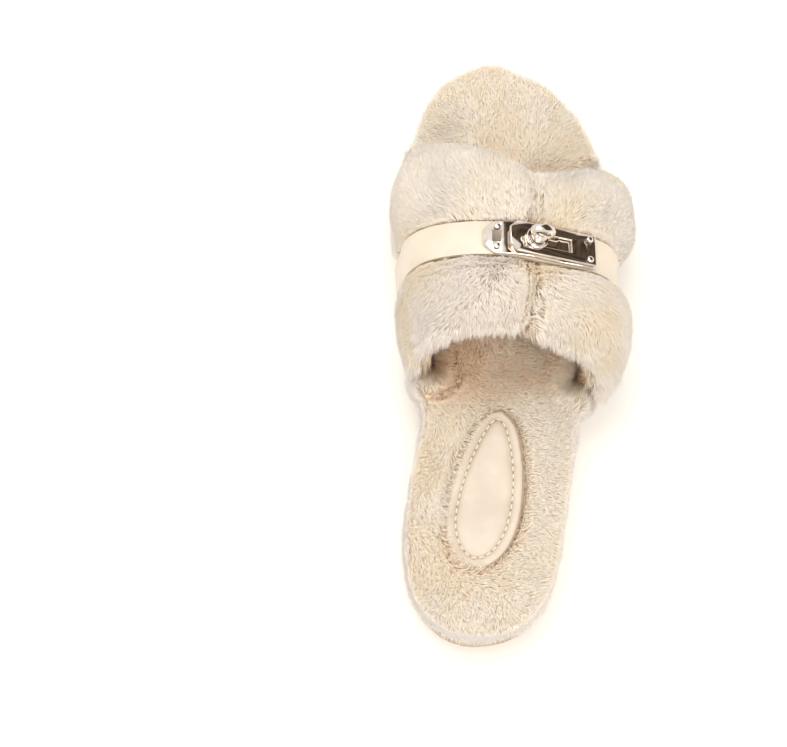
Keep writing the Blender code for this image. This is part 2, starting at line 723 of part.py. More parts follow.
def add_bevel(part, width, segments=2):
    bevel = part.modifiers.new("rounded_edges", "BEVEL")
    bevel.width = width
    bevel.segments = segments
    bevel.limit_method = "ANGLE"
    bevel.angle_limit = math.radians(40)


def make_base_plate(frame, holes):
    mesh = slab_mesh([chamfered_outline(BASE_PLATE_U, BASE_PLATE_WIDTH, BASE_PLATE_CORNER)], *BASE_PLATE_H)
    plate = add_part("base_plate", mesh, "metal", frame)
    add_bevel(plate, BASE_PLATE_BEVEL, 1)
    settle(plate)
    shape = bmesh.new()
    shape.from_mesh(plate.data)
    for u in np.linspace(*BASE_PLATE_U, BASE_PLATE_BENDS + 2)[1:-1]:
        geometry = shape.verts[:] + shape.edges[:] + shape.faces[:]
        bmesh.ops.bisect_plane(shape, geom=geometry, dist=1e-6, plane_co=(u, 0, 0), plane_no=(1, 0, 0))
    for vertex in shape.verts:
        vertex.co.z += strap_drop(vertex.co.x)
    bmesh.ops.triangulate(shape, faces=shape.faces)
    shape.to_mesh(plate.data)
    shape.free()
    cut(plate, *holes)


def make_hasp_plate(frame, holes):
    mesh = slab_mesh([chamfered_outline(HASP_U, HASP_WIDTH, HASP_CORNER)], *HASP_H)
    plate = add_part("hasp_plate", mesh, "metal", frame)
    middle = (SLOT_U[0] + SLOT_U[1]) / 2
    bpy.ops.mesh.primitive_cube_add(size=1)
    slot = bpy.context.object
    slot.data.transform(Matrix.Diagonal((SLOT_U[1] - SLOT_U[0], SLOT_WIDTH, CUT_REACH, 1)))
    slot_mesh = slot.data
    bpy.data.objects.remove(slot, do_unlink=True)
    cutter = add_cutter("slot_cutter", slot_mesh, LOCK_FRAME @ Matrix.Translation((middle, 0, 0)))
    cut(plate, cutter)
    settle(plate)
    add_bevel(plate, HASP_BEVEL)
    settle(plate)
    cut(plate, *holes)


def rivet_mesh(head_bottom, tail):
    """A domed head, and a shank down to the washer behind the strap."""
    radius, height, rim = RIVET_HEAD_RADIUS, RIVET_HEAD_HEIGHT, RIVET_RIM_HEIGHT
    dome = [
        (radius * math.cos(angle), head_bottom + rim + (height - rim) * math.sin(angle))
        for angle in np.radians((90, 65, 42, 20, 0))
    ]
    dome[0] = (0, dome[0][1])
    shank = [(radius, head_bottom), (RIVET_SHANK_RADIUS, head_bottom), (RIVET_SHANK_RADIUS, tail), (0, tail)]
    return turned_mesh(dome + shank, 16)


def make_rivet(name, frame, place, head_bottom):
    """A rivet and the washer that it's headed against, behind the strap's backing."""
    add_part(name, rivet_mesh(head_bottom, BACK_SPACE), "metal", frame, place)
    bore = RIVET_SHANK_RADIUS + GAP
    low, high = BACK_SPACE, BACK_SPACE + BACK_PLATE_THICK
    ring = ((bore, high), (WASHER_RADIUS, high), (WASHER_RADIUS, low), (bore, low))
    add_part(name + "_washer", turned_mesh(ring, 16), "metal", frame, place)


def make_lock_post(frame):
    """A pin from behind the strap up into the knob's loop, headed over at both ends."""
    tail = BACK_SPACE
    head = LOOP_FLOOR + GAP
    profile = (
        (0, head + 0.6 * MM), (POST_HEAD_RADIUS * 0.7, head + 0.55 * MM), (POST_HEAD_RADIUS, head + 0.2 * MM),
        (POST_HEAD_RADIUS, head), (POST_RADIUS, head), (POST_RADIUS, tail + BACK_PLATE_THICK),
        (POST_TAIL_RADIUS, tail + BACK_PLATE_THICK), (POST_TAIL_RADIUS, tail), (0, tail),
    )
    add_part("lock_post", turned_mesh(profile), "metal", frame)


def make_lock_collar(frame):
    bottom, top = COLLAR_H
    bore = POST_RADIUS + GAP
    edge = COLLAR_EDGE
    profile = (
        (bore, top), (COLLAR_RADIUS - edge, top), (COLLAR_RADIUS, top - edge),
        (COLLAR_RADIUS, bottom), (bore, bottom),
    )
    add_part("lock_collar", turned_mesh(profile, 28), "metal", frame)


def make_wave_washer(frame):
    bore = POST_RADIUS + GAP
    middle = (COLLAR_H[1] + KNOB_FOOT_H[0]) / 2
    low, high = middle - SPRING_THICK / 2, middle + SPRING_THICK / 2
    mesh = turned_mesh(((bore, high), (SPRING_RADIUS, high), (SPRING_RADIUS, low), (bore, low)), 24)
    for vertex in mesh.vertices:
        vertex.co.z += SPRING_WAVE * math.sin(3 * math.atan2(vertex.co.y, vertex.co.x))
    add_part("wave_washer", mesh, "metal", frame)


def loop_mesh():
    """The knob's standing oval ring, its hole across the strap."""
    turns = np.linspace(0, 2 * math.pi, 28, endpoint=False)
    path = [
        (LOOP_HALF_LENGTH * math.cos(a), 0, LOOP_CENTRE_H + LOOP_HALF_HEIGHT * math.sin(a)) for a in turns
    ]
    mesh = tube_mesh(path, LOOP_RADIUS, True, resolution=2)
    mesh.transform(Matrix.Diagonal((1, LOOP_WIDENING, 1, 1)))
    return mesh


def make_turn_knob(frame):
    """The loop on its round foot, bored for the post, with its origin on the post's axis."""
    bottom, top = KNOB_FOOT_H
    profile = (
        (0, top + KNOB_FOOT_DOME), (KNOB_FOOT_RADIUS * 0.6, top + 0.9 * KNOB_FOOT_DOME),
        (KNOB_FOOT_RADIUS, top), (KNOB_FOOT_RADIUS, bottom), (0, bottom),
    )
    knob = add_part("turn_knob", turned_mesh(profile, 24), "metal", frame)
    join(knob, add_cutter("loop_addition", loop_mesh(), LOCK_FRAME))
    bore = cylinder_mesh(POST_RADIUS + GAP, 0, LOOP_FLOOR + 0.2 * MM, 20)
    cut(knob, add_cutter("knob_bore_cutter", bore, LOCK_FRAME))
    head_room = cylinder_mesh(POST_HEAD_RADIUS + GAP, LOOP_FLOOR, LOOP_CENTRE_H, 20)
    cut(knob, add_cutter("post_head_cutter", head_room, LOCK_FRAME))


def make_buckle(holes):
    frame = add_empty("buckle_frame", ROOT, LOCK_FRAME)
    make_base_plate(frame, holes)
    make_hasp_plate(frame, holes[2:4])
    for name, place, head_bottom in rivet_places():
        make_rivet(name, frame, place, head_bottom)
    make_lock_post(frame)
    make_lock_collar(frame)
    make_wave_washer(frame)
    make_turn_knob(frame)


clear_scene()
PARTS = new_collection("fluffy_slipper")
CUTTERS = new_collection("cutters")
ROOT = add_empty("slipper", None, Matrix.Translation((-PLAN_CENTRE[0], -PLAN_CENTRE[1], 0)))

LOCK_FRAME = strap_frame(LOCK_X)
# Where each kind of rivet stands in the lock's frame, and how high its head is above the strap's face.
BASE_RIVET_FRAME = LOCK_FRAME.inverted() @ strap_frame(BASE_RIVET_X)
HASP_RIVET_FRAME = LOCK_FRAME.inverted() @ strap_frame(HASP_RIVET_X)
RIVET_PLACES = {
    "base": (BASE_RIVET_FRAME, BASE_PLATE_H[1] + GAP),
    "hasp": (HASP_RIVET_FRAME, HASP_H[1] - HASP_RIVET_FRAME.translation.z + GAP + TILT_ROOM),
}


def rivet_places():
    """The name, frame and head height of each rivet, in the lock's frame."""
    for kind, (place, head_bottom) in RIVET_PLACES.items():
        for index, side in enumerate((1, -1), start=1):
            across = Matrix.Translation((0, side * RIVET_ACROSS, 0))
            yield f"{kind}_rivet_{index}", place @ across, head_bottom


HOLES = [(name, LOCK_FRAME @ place, RIVET_SHANK_RADIUS) for name, place, _ in rivet_places()]
HOLES.append(("post", LOCK_FRAME, POST_RADIUS))

make_outsole()
make_midsole()
make_insole_board()
make_footbed_foam()
make_footbed_fur()
make_heel_pad()
make_upper()
make_buckle(make_strap())
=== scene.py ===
"""Looks of a fluffy house slide: faux-fur rolls and footbed, a leather strap and a turn-lock buckle.

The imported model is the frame. Places come from its nodes, lengths are in metres, +Y is the toe,
+X is the outer side of the foot and +Z is up.
"""

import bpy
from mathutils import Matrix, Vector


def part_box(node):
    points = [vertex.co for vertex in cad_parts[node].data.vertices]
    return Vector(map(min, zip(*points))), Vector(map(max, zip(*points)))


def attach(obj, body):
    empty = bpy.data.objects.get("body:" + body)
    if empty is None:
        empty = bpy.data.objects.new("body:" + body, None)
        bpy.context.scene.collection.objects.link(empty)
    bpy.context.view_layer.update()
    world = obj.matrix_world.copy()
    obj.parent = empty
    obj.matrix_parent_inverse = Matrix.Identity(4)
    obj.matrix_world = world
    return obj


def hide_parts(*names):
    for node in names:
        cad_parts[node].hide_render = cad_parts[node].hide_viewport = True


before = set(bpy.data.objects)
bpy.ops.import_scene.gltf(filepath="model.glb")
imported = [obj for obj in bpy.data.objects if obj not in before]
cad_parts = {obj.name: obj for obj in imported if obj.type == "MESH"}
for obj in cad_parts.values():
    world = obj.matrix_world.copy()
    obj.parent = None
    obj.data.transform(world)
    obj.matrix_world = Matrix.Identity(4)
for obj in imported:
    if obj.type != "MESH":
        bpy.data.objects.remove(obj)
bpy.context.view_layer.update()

import math

import bmesh
import bpy
import numpy as np
from mathutils import Euler, Matrix, Vector
from mathutils.bvhtree import BVHTree
from mathutils.kdtree import KDTree

MM = 0.001
TINY = 1e-9
UP = Vector((0, 0, 1))
SCENE = bpy.context.scene
BODY = "slipper"
KNOB_BODY = "knob"

# ---------------------------------------------------------------- sizes of the stage

CAMERA_PLACE = (-30.24 * MM, -356.4 * MM, 959.7 * MM)
CAMERA_TURN = (math.radians(20.0), 0.0, math.radians(3.0))
CAMERA_LENS = 106.8
CAMERA_SENSOR = 36.0
CAMERA_NEAREST = 10 * MM

# Area lights: place, size, power in watts, colour. They point at the middle of the floor.
LIGHTS = {
    "key": ((-0.3, 0.4, 1.5), (1.0, 1.0), 10.8, (1.0, 0.965, 0.92)),
    "fill": ((0.35, -0.9, 1.0), (0.9, 0.9), 6.1, (1.0, 0.955, 0.90)),
}
WORLD_COLOUR = (1.0, 0.97, 0.93, 1)
WORLD_STRENGTH = 1.09
LIGHT_BOUNCES = 16
FLOOR_SIZE = 6.0
FLAG_PLACE = (0.70, 0.64, 0.66)
FLAG_SIZE = 0.95
FLAG_CLOUDS = 0.3

# ---------------------------------------------------------------- sizes of the fur

# A piece of strands stays under 200,000 triangles, and a strand has 10.
STRANDS_PER_PIECE = 19_900
STRANDS_PER_CLUMP = 30
# What is left of a strand that would end in something.
CUT_SHARE = 0.5
# The share of a strand's length that lies below its bend.
BEND_SHARE = 0.48
# Least and greatest radius of a strand's foot, and how far the foot is sunk into the skin.
LONG_STRAND = (0.13 * MM, 0.21 * MM)
SHORT_STRAND = (0.10 * MM, 0.16 * MM)
FOOT_DEPTH = 0.5 * MM
DENSITY = 1.0
# Strands per square millimetre.
UPPER_DENSITY = 8.0
LINING_DENSITY = 4.0
FOOTBED_DENSITY = 9.5
# The lowest that the point of a strand may reach above the floor.
UPPER_LOWEST = 4 * MM
LINING_LOWEST = 10 * MM
FOOTBED_LOWEST = 6 * MM
# Seeds of the random draws. Each panel of the upper has its own, a step apart.
UPPER_SEED, UPPER_SEED_STEP = 100, 240
LINING_SEED = 700
FOOTBED_SEED = 900
# Both panels share the seeds of their broad and fine changes of tone.
BROAD_TONE_SEED, FINE_TONE_SEED = 77, 78


# ---------------------------------------------------------------- small helpers


def add_object(name, mesh, materials=()):
    piece = bpy.data.objects.new(name, mesh)
    SCENE.collection.objects.link(piece)
    for material in materials:
        mesh.materials.append(material)
    return piece


def middle_of(node):
    """The middle of a CAD node's box."""
    low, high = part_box(node)
    return [(a + b) / 2 for a, b in zip(low, high, strict=True)]


def copy_of(node, name):
    """A new piece with a copy of a CAD node's mesh, its doubled points merged."""
    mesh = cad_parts[node].data.copy()
    mesh.materials.clear()
    shape = bmesh.new()
    shape.from_mesh(mesh)
    bmesh.ops.remove_doubles(shape, verts=shape.verts, dist=0.002 * MM)
    shape.to_mesh(mesh)
    shape.free()
    return add_object(name, mesh)


def settle(piece):
    """Applies a piece's modifiers."""
    graph = bpy.context.evaluated_depsgraph_get()
    mesh = bpy.data.meshes.new_from_object(piece.evaluated_get(graph))
    piece.modifiers.clear()
    piece.data = mesh


def points_of(mesh):
    points = np.empty(len(mesh.vertices) * 3, np.float32)
    mesh.vertices.foreach_get("co", points)
    return points.reshape(-1, 3).astype(float)


def set_points(mesh, points):
    mesh.vertices.foreach_set("co", points.astype(np.float32).ravel())
    mesh.update()


def normals_of(mesh):
    normals = np.empty(len(mesh.vertices) * 3, np.float32)
    mesh.vertex_normals.foreach_get("vector", normals)
    return normals.reshape(-1, 3).astype(float)


def unit(vectors):
    return vectors / np.maximum(np.linalg.norm(vectors, axis=-1, keepdims=True), TINY)


def tree_of(*nodes):
    """A search tree over the triangles of some CAD nodes."""
    points = []
    faces = []
    for node in nodes:
        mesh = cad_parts[node].data
        mesh.calc_loop_triangles()
        start = len(points)
        points.extend(tuple(v.co) for v in mesh.vertices)
        faces.extend([start + i for i in t.vertices] for t in mesh.loop_triangles)
    return BVHTree.FromPolygons(points, faces)


def distances(points, tree):
    return np.array([tree.find_nearest(Vector(p))[3] for p in points])


def ways_to(points, tree):
    """The vector from each point to the nearest point of a tree."""
    return np.array([tuple(tree.find_nearest(Vector(p))[0] - Vector(p)) for p in points])


def wavy(points, size, seed, count=14):
    """Smooth noise, mostly between -1 and 1, with features of about that size."""
    draw = np.random.default_rng(seed)
    directions = unit(draw.normal(size=(count, 3)))
    turns = 2 * np.pi / (size * draw.uniform(0.8, 2.2, count))
    phases = draw.uniform(0, 2 * np.pi, count)
    waves = np.sin(points @ (directions * turns[:, None]).T + phases)
    return waves.sum(axis=1) * 0.7 / math.sqrt(count / 2)


def share(values, low, high):
    """0 below low, 1 above high, and a smooth step between."""
    part = np.clip((values - low) / (high - low), 0, 1)
    return part * part * (3 - 2 * part)


# ---------------------------------------------------------------- materials


def new_material(name, **inputs):
    """A Principled material, its node tree and its shader."""
    material = bpy.data.materials.new(name)
    material.use_nodes = True
    tree = material.node_tree
    shader = tree.nodes["Principled BSDF"]
    for socket, value in inputs.items():
        shader.inputs[socket.replace("_", " ")].default_value = value
    return material, tree, shader


def link(tree, source, target):
    tree.links.new(source, target)


def object_place(tree, scale=(1, 1, 1)):
    """The place on the object, as texture coordinates."""
    place = tree.nodes.new("ShaderNodeTexCoord")
    mapping = tree.nodes.new("ShaderNodeMapping")
    mapping.inputs["Scale"].default_value = scale
    link(tree, place.outputs["Object"], mapping.inputs["Vector"])
    return mapping.outputs["Vector"]


def noise(tree, place, size, detail=4.0, roughness=0.55):
    """Noise with features of about that size in metres."""
    node = tree.nodes.new("ShaderNodeTexNoise")
    node.inputs["Scale"].default_value = 1 / size
    node.inputs["Detail"].default_value = detail
    node.inputs["Roughness"].default_value = roughness
    link(tree, place, node.inputs["Vector"])
    return node.outputs["Fac"]


def ramp(tree, value, stops):
    """Colours for a value: stops holds a position and a colour for each."""
    node = tree.nodes.new("ShaderNodeValToRGB")
    points = node.color_ramp.elements
    while len(points) < len(stops):
        points.new(0.5)
    for point, (position, colour) in zip(points, stops, strict=True):
        point.position = position
        point.color = (*colour, 1)
    link(tree, value, node.inputs["Fac"])
    return node.outputs["Color"]


def bump(tree, shader, height, distance, strength=1.0, under=None):
    """Adds a bump to the shader, on top of an earlier bump if under gives one."""
    node = tree.nodes.new("ShaderNodeBump")
    node.inputs["Strength"].default_value = strength
    node.inputs["Distance"].default_value = distance
    link(tree, height, node.inputs["Height"])
    if under is not None:
        link(tree, under, node.inputs["Normal"])
    link(tree, node.outputs["Normal"], shader.inputs["Normal"])
    return node.outputs["Normal"]


def value_range(tree, value, low, high):
    node = tree.nodes.new("ShaderNodeMapRange")
    node.inputs["To Min"].default_value = low
    node.inputs["To Max"].default_value = high
    link(tree, value, node.inputs["Value"])
    return node.outputs["Result"]


def fur_backing(name, deep, light):
    """The dense foot of the pile, seen between the strands, in a warm tan that is painted shade of the deep
    pile.
    """
    material, tree, shader = new_material(name, Roughness=0.95)
    shader.inputs["Specular IOR Level"].default_value = 0.0
    place = object_place(tree)
    blotches = noise(tree, place, 12 * MM, 3)
    link(tree, ramp(tree, blotches, ((0.35, deep), (0.65, light))), shader.inputs["Base Color"])
    bump(tree, shader, noise(tree, place, 0.9 * MM, 5, 0.7), 0.6 * MM, 0.8)
    return material


def leather(name, dark, light, grain, roughness):
    """Smooth coated leather with a fine pebble grain."""
    material, tree, shader = new_material(name)
    shader.inputs["Specular IOR Level"].default_value = 0.45
    place = object_place(tree)
    clouds = noise(tree, place, 14 * MM, 3)
    link(tree, ramp(tree, clouds, ((0.3, dark), (0.7, light))), shader.inputs["Base Color"])
    cells = tree.nodes.new("ShaderNodeTexVoronoi")
    cells.feature = "SMOOTH_F1"
    cells.inputs["Scale"].default_value = 1 / grain
    link(tree, place, cells.inputs["Vector"])
    fine = bump(tree, shader, cells.outputs["Distance"], 0.05 * MM, 0.35)
    bump(tree, shader, noise(tree, place, 6 * MM, 2), 0.25 * MM, 0.5, fine)
    rough = noise(tree, place, 3 * MM, 3)
    link(tree, value_range(tree, rough, roughness - 0.06, roughness + 0.08), shader.inputs["Roughness"])
    return material


def textile(name, dark, light, thread):
    """A plain weave."""
    material, tree, shader = new_material(name, Roughness=0.9, Sheen_Weight=0.2)
    place = object_place(tree)
    wave = tree.nodes.new("ShaderNodeTexWave")
    wave.inputs["Scale"].default_value = 0.5 / thread
    wave.inputs["Distortion"].default_value = 1.5
    wave.inputs["Detail"].default_value = 2
    link(tree, place, wave.inputs["Vector"])
    link(tree, ramp(tree, wave.outputs["Fac"], ((0.2, dark), (0.8, light))), shader.inputs["Base Color"])
    bump(tree, shader, wave.outputs["Fac"], 0.08 * MM, 0.6)
    return material


def foam(name, dark, light, cell):
    """Moulded foam or rubber with a fine cell texture and soft scuffs."""
    material, tree, shader = new_material(name)
    place = object_place(tree)
    clouds = noise(tree, place, 22 * MM, 5, 0.6)
    link(tree, ramp(tree, clouds, ((0.3, dark), (0.7, light))), shader.inputs["Base Color"])
    pores = noise(tree, place, cell, 2)
    bump(tree, shader, pores, 0.08 * MM, 0.5)
    link(tree, value_range(tree, clouds, 0.55, 0.8), shader.inputs["Roughness"])
    return material


def metal(name, colour, roughness, streak, scratch):
    """Plated metal: streak scales the brushing along x, y and z, and scratch is its height."""
    material, tree, shader = new_material(name, Metallic=1.0)
    place = object_place(tree)
    lines = noise(tree, object_place(tree, streak), 0.5 * MM, 4, 0.6)
    clouds = noise(tree, place, 5 * MM, 3)
    dark = tuple(c * 0.82 for c in colour)
    link(tree, ramp(tree, clouds, ((0.35, dark), (0.65, colour))), shader.inputs["Base Color"])
    link(tree, value_range(tree, lines, roughness * 0.6, roughness * 1.5), shader.inputs["Roughness"])
    swell = bump(tree, shader, noise(tree, place, 9 * MM, 1), 0.12 * MM, 1.0)
    bump(tree, shader, lines, scratch, 0.4, swell)
    return material


# The tones of the strands, from the darkest to the lightest. The darkest two are used mostly as painted
# shade: at the feet of the strands and in the pile inside and under the upper.
PILE_TONES = (
    ("pile_brown", (0.76, 0.53, 0.33)),
    ("pile_tan", (0.90, 0.69, 0.48)),
    ("pile_peach", (0.96, 0.80, 0.63)),
    ("pile_butter", (0.96, 0.87, 0.72)),
    ("pile_cream", (0.965, 0.895, 0.79)),
    ("pile_pale", (0.975, 0.91, 0.835)),
    ("pile_rose", (0.985, 0.925, 0.87)),
)


def pile_materials():
    """A matt material for each tone."""
    made = []
    for name, colour in PILE_TONES:
        material, tree, shader = new_material(name, Roughness=0.85)
        shader.inputs["Base Color"].default_value = (*colour, 1)
        shader.inputs["Specular IOR Level"].default_value = 0.0
        made.append(material)
    return made


PILE = pile_materials()
# The backings' tan colours are painted shade, standing in for the shade deep in the pile.
SKIN = fur_backing("upper_backing", (0.88, 0.76, 0.60), (0.94, 0.86, 0.75))
FOOTBED_SKIN = fur_backing("footbed_backing", (0.88, 0.75, 0.58), (0.94, 0.85, 0.72))
STRAP_LEATHER = leather("strap_leather_look", (0.63, 0.55, 0.44), (0.70, 0.62, 0.51), 0.45 * MM, 0.42)
PAD_LEATHER = leather("pad_leather_look", (0.53, 0.45, 0.37), (0.61, 0.535, 0.45), 0.5 * MM, 0.45)
PAD_EDGE = leather("pad_edge_look", (0.34, 0.22, 0.12), (0.45, 0.31, 0.18), 0.3 * MM, 0.6)
THREAD = textile("thread_look", (0.70, 0.60, 0.44), (0.88, 0.80, 0.66), 0.25 * MM)
BACKING_CLOTH = textile("backing_cloth_look", (0.50, 0.40, 0.27), (0.68, 0.57, 0.41), 0.6 * MM)
SOLE_FOAM = foam("sole_foam_look", (0.78, 0.70, 0.58), (0.88, 0.82, 0.71), 0.6 * MM)
OUTSOLE_RUBBER = foam("outsole_rubber_look", (0.42, 0.31, 0.20), (0.52, 0.40, 0.27), 0.4 * MM)
BOARD = foam("board_look", (0.34, 0.24, 0.15), (0.46, 0.34, 0.22), 1.5 * MM)
PLATED = metal("plated_metal_look", (0.80, 0.73, 0.66), 0.07, (1, 1, 1), 0.002 * MM)
BRUSHED = metal("brushed_metal_look", (0.68, 0.60, 0.53), 0.3, (1, 14, 1), 0.02 * MM)
HATCHED = metal("hatched_metal_look", (0.30, 0.25, 0.20), 0.4, (3, 0.4, 3), 0.3 * MM)


# ---------------------------------------------------------------- hard pieces


SHARP_ANGLE = math.radians(40)
FLAT_ANGLE = math.radians(1.0)
BASE_INSET_HALVES = (1.9 * MM, 2.7 * MM, 0.16 * MM)
BASE_INSET_ROUNDING = 0.1 * MM


def refined(node, material, bevel=0.0, angle=35.0, segments=2):
    """A finer copy of a CAD node: flat faces joined, edges rounded, shaded smooth between sharp edges."""
    piece = copy_of(node, f"{node}_finished")
    shape = bmesh.new()
    shape.from_mesh(piece.data)
    bmesh.ops.dissolve_limit(shape, angle_limit=FLAT_ANGLE, verts=shape.verts, edges=shape.edges)
    shape.to_mesh(piece.data)
    shape.free()
    if bevel:
        rounding = piece.modifiers.new("rounding", "BEVEL")
        rounding.width = bevel
        rounding.segments = segments
        rounding.limit_method = "ANGLE"
        rounding.angle_limit = math.radians(angle)
        settle(piece)
    piece.data.shade_smooth()
    piece.data.set_sharp_from_angle(angle=SHARP_ANGLE)
    piece.data.materials.append(material)
    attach(piece, KNOB_BODY if node == "turn_knob" else BODY)
    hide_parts(node)
    return piece


def dress(node, material):
    """Gives a CAD node that stays its material."""
    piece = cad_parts[node]
    for slot in piece.material_slots:
        slot.material = material
    if not piece.material_slots:
        piece.data.materials.append(material)


def make_base_inset():
    """The sunk, finely hatched panel between the base plate's rivets."""
    ends = [Vector(middle_of(f"base_rivet_{number}")) for number in (1, 2)]
    across = (ends[1] - ends[0]).normalized()
    middle = (ends[0] + ends[1]) / 2
    spot, normal, _, _ = tree_of("base_plate").ray_cast(middle + UP * 20 * MM, -UP)
    along = across.cross(normal).normalized()
    axes = Matrix((along, normal.cross(along), normal)).transposed()
    mesh = bpy.data.meshes.new("base_plate_inset")
    shape = bmesh.new()
    bmesh.ops.create_cube(shape, size=2.0)
    for vertex in shape.verts:
        vertex.co = spot + axes @ (vertex.co * Vector(BASE_INSET_HALVES))
    bmesh.ops.bevel(
        shape, geom=list(shape.edges), offset=BASE_INSET_ROUNDING, segments=2, affect="EDGES", profile=0.5
    )
    shape.to_mesh(mesh)
    shape.free()
    mesh.shade_smooth()
    mesh.set_sharp_from_angle(angle=SHARP_ANGLE)
    inset = add_object("base_plate_inset", mesh, [HATCHED])
    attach(inset, BODY)


# ---------------------------------------------------------------- soft skins


def remesh(piece, voxel):
    change = piece.modifiers.new("remesh", "REMESH")
    change.mode = "VOXEL"
    change.voxel_size = voxel
    settle(piece)


def smooth(piece, times):
    change = piece.modifiers.new("smooth", "SMOOTH")
    change.factor = 0.5
    change.iterations = times
    settle(piece)


def pull_in(piece, inset):
    """Moves the points of a piece inwards, each by its own distance."""
    set_points(piece.data, points_of(piece.data) - normals_of(piece.data) * inset[:, None])


CLOTH_FRAMES = 20


def inflate(piece, held, pressure, cap):
    """Swells a piece by cloth simulation. Its points in held stay, and none moves further than cap."""
    before = points_of(piece.data)
    group = piece.vertex_groups.new(name="held")
    group.add([int(i) for i in np.flatnonzero(held)], 1.0, "REPLACE")
    cloth = piece.modifiers.new("swell", "CLOTH")
    cloth.settings.use_pressure = True
    cloth.settings.uniform_pressure_force = pressure
    cloth.settings.effector_weights.gravity = 0
    cloth.settings.vertex_group_mass = "held"
    cloth.settings.quality = 5
    cloth.settings.mass = 0.2
    cloth.settings.tension_stiffness = 12
    cloth.settings.compression_stiffness = 12
    cloth.settings.bending_stiffness = 0.4
    for step in range(1, CLOTH_FRAMES + 1):
        SCENE.frame_set(step)
    settle(piece)
    SCENE.frame_set(1)
    moved = points_of(piece.data) - before
    far = np.linalg.norm(moved, axis=1, keepdims=True)
    set_points(piece.data, before + moved * np.minimum(1, cap / np.maximum(far, TINY)))
    piece.vertex_groups.clear()


def finish_skin(piece, material):
    """Gives a soft piece its material and its body."""
    piece.data.materials.clear()
    piece.data.materials.append(material)
    piece.data.shade_smooth()
    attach(piece, BODY)


# ---------------------------------------------------------------- fur strands


def scatter(mesh, per_mm2, seed, field, keep):
    """Random points on a mesh, with their normals and a field that has a row of values at each vertex.

    keep(points, normals, values) says which of them stay.
    """
    draw = np.random.default_rng(seed)
    mesh.calc_loop_triangles()
    corners = np.empty(len(mesh.loop_triangles) * 3, np.int32)
    mesh.loop_triangles.foreach_get("vertices", corners)
    corners = corners.reshape(-1, 3)
    points = points_of(mesh)
    normals = normals_of(mesh)
    a, b, c = (points[corners[:, k]] for k in range(3))
    areas = np.linalg.norm(np.cross(b - a, c - a), axis=1) / 2
    count = int(areas.sum() / MM**2 * per_mm2 * DENSITY)
    chosen = corners[draw.choice(len(areas), count, p=areas / areas.sum())]
    u, v = draw.random((2, count))
    over = u + v > 1
    u[over] = 1 - u[over]
    v[over] = 1 - v[over]
    weights = np.stack([1 - u - v, u, v], axis=1)
    spots = (points[chosen] * weights[:, :, None]).sum(axis=1)
    facing = unit((normals[chosen] * weights[:, :, None]).sum(axis=1))
    values = (field[chosen] * weights[:, :, None]).sum(axis=1)
    kept = keep(spots, facing, values)
    return spots[kept], facing[kept], values[kept]


def clump(roots, tips, per_clump, pull, seed):
    """Draws the tips of neighbouring strands together, towards the tip of one strand in each clump."""
    draw = np.random.default_rng(seed)
    count = max(2, int(len(roots) / per_clump))
    centres = draw.choice(len(roots), count, replace=False)
    tree = KDTree(count)
    for k, i in enumerate(centres):
        tree.insert(Vector(roots[i]), k)
    tree.balance()
    nearest = np.array([centres[tree.find(Vector(p))[1]] for p in roots])
    strength = (pull * draw.uniform(0.4, 1.0, len(roots)))[:, None]
    return tips + (tips[nearest] - tips) * strength


def strand_mesh(name, roots, middles, tips, radii, tones):
    """Closed three-sided strands, each with a foot, a bend and a point.

    tones holds a material number for the lower and the upper half of each strand.
    """
    draw = np.random.default_rng(len(roots))
    count = len(roots)
    along = unit(middles - roots)
    side = unit(np.cross(along, draw.normal(size=(count, 3))))
    other = np.cross(along, side)
    angles = np.arange(3) * 2 * np.pi / 3
    ring = side[:, None] * np.cos(angles)[None, :, None] + other[:, None] * np.sin(angles)[None, :, None]
    foot = roots[:, None] + ring * radii[:, None, None]
    bend = middles[:, None] + ring * radii[:, None, None] * 0.8
    points = np.concatenate([foot, bend, tips[:, None]], axis=1).reshape(-1, 3)
    pattern = [(0, 2, 1)]
    halves = [0]
    for k in range(3):
        after = (k + 1) % 3
        pattern += [(k, after, 3 + after), (k, 3 + after, 3 + k), (3 + k, 3 + after, 6)]
        halves += [0, 0, 1]
    faces = (np.array(pattern)[None] + np.arange(count)[:, None, None] * 7).reshape(-1, 3)
    mesh = bpy.data.meshes.new(name)
    mesh.vertices.add(len(points))
    mesh.vertices.foreach_set("co", points.astype(np.float32).ravel())
    mesh.loops.add(faces.size)
    mesh.loops.foreach_set("vertex_index", faces.astype(np.int32).ravel())
    mesh.polygons.add(len(faces))
    mesh.polygons.foreach_set("loop_start", np.arange(0, faces.size, 3, dtype=np.int32))
    for material in PILE:
        mesh.materials.append(material)
    mesh.polygons.foreach_set("material_index", tones[:, np.array(halves)].ravel().astype(np.int32))
    mesh.update(calc_edges=True)
    return mesh


def tones_for(roots, level, seed):
    """A tone for the foot and one for the point of each strand, from a level and a little chance; the foot is
    a tone darker, as painted shade deep in the pile.
    """
    draw = np.random.default_rng(seed)
    point = np.round(level + draw.normal(0, 0.25, len(roots)))
    point = np.clip(point, 1, len(PILE) - 1)
    # The foot a tone darker than the point is painted shade.
    foot = np.clip(point - 1, 0, None)
    return np.stack([foot, point], axis=1).astype(int)


def combed(normals, toward, turn):
    """Vectors along the surface, towards a direction and turned from it by an angle.

    They are unit vectors, and shorter where the direction is nearly that of the normal.
    """
    toward = unit(toward)
    flat = toward - normals * (toward * normals).sum(axis=1, keepdims=True)
    along = flat / np.maximum(np.linalg.norm(flat, axis=1, keepdims=True), 0.5)
    across = np.cross(normals, along)
    return along * np.cos(turn)[:, None] + across * np.sin(turn)[:, None]


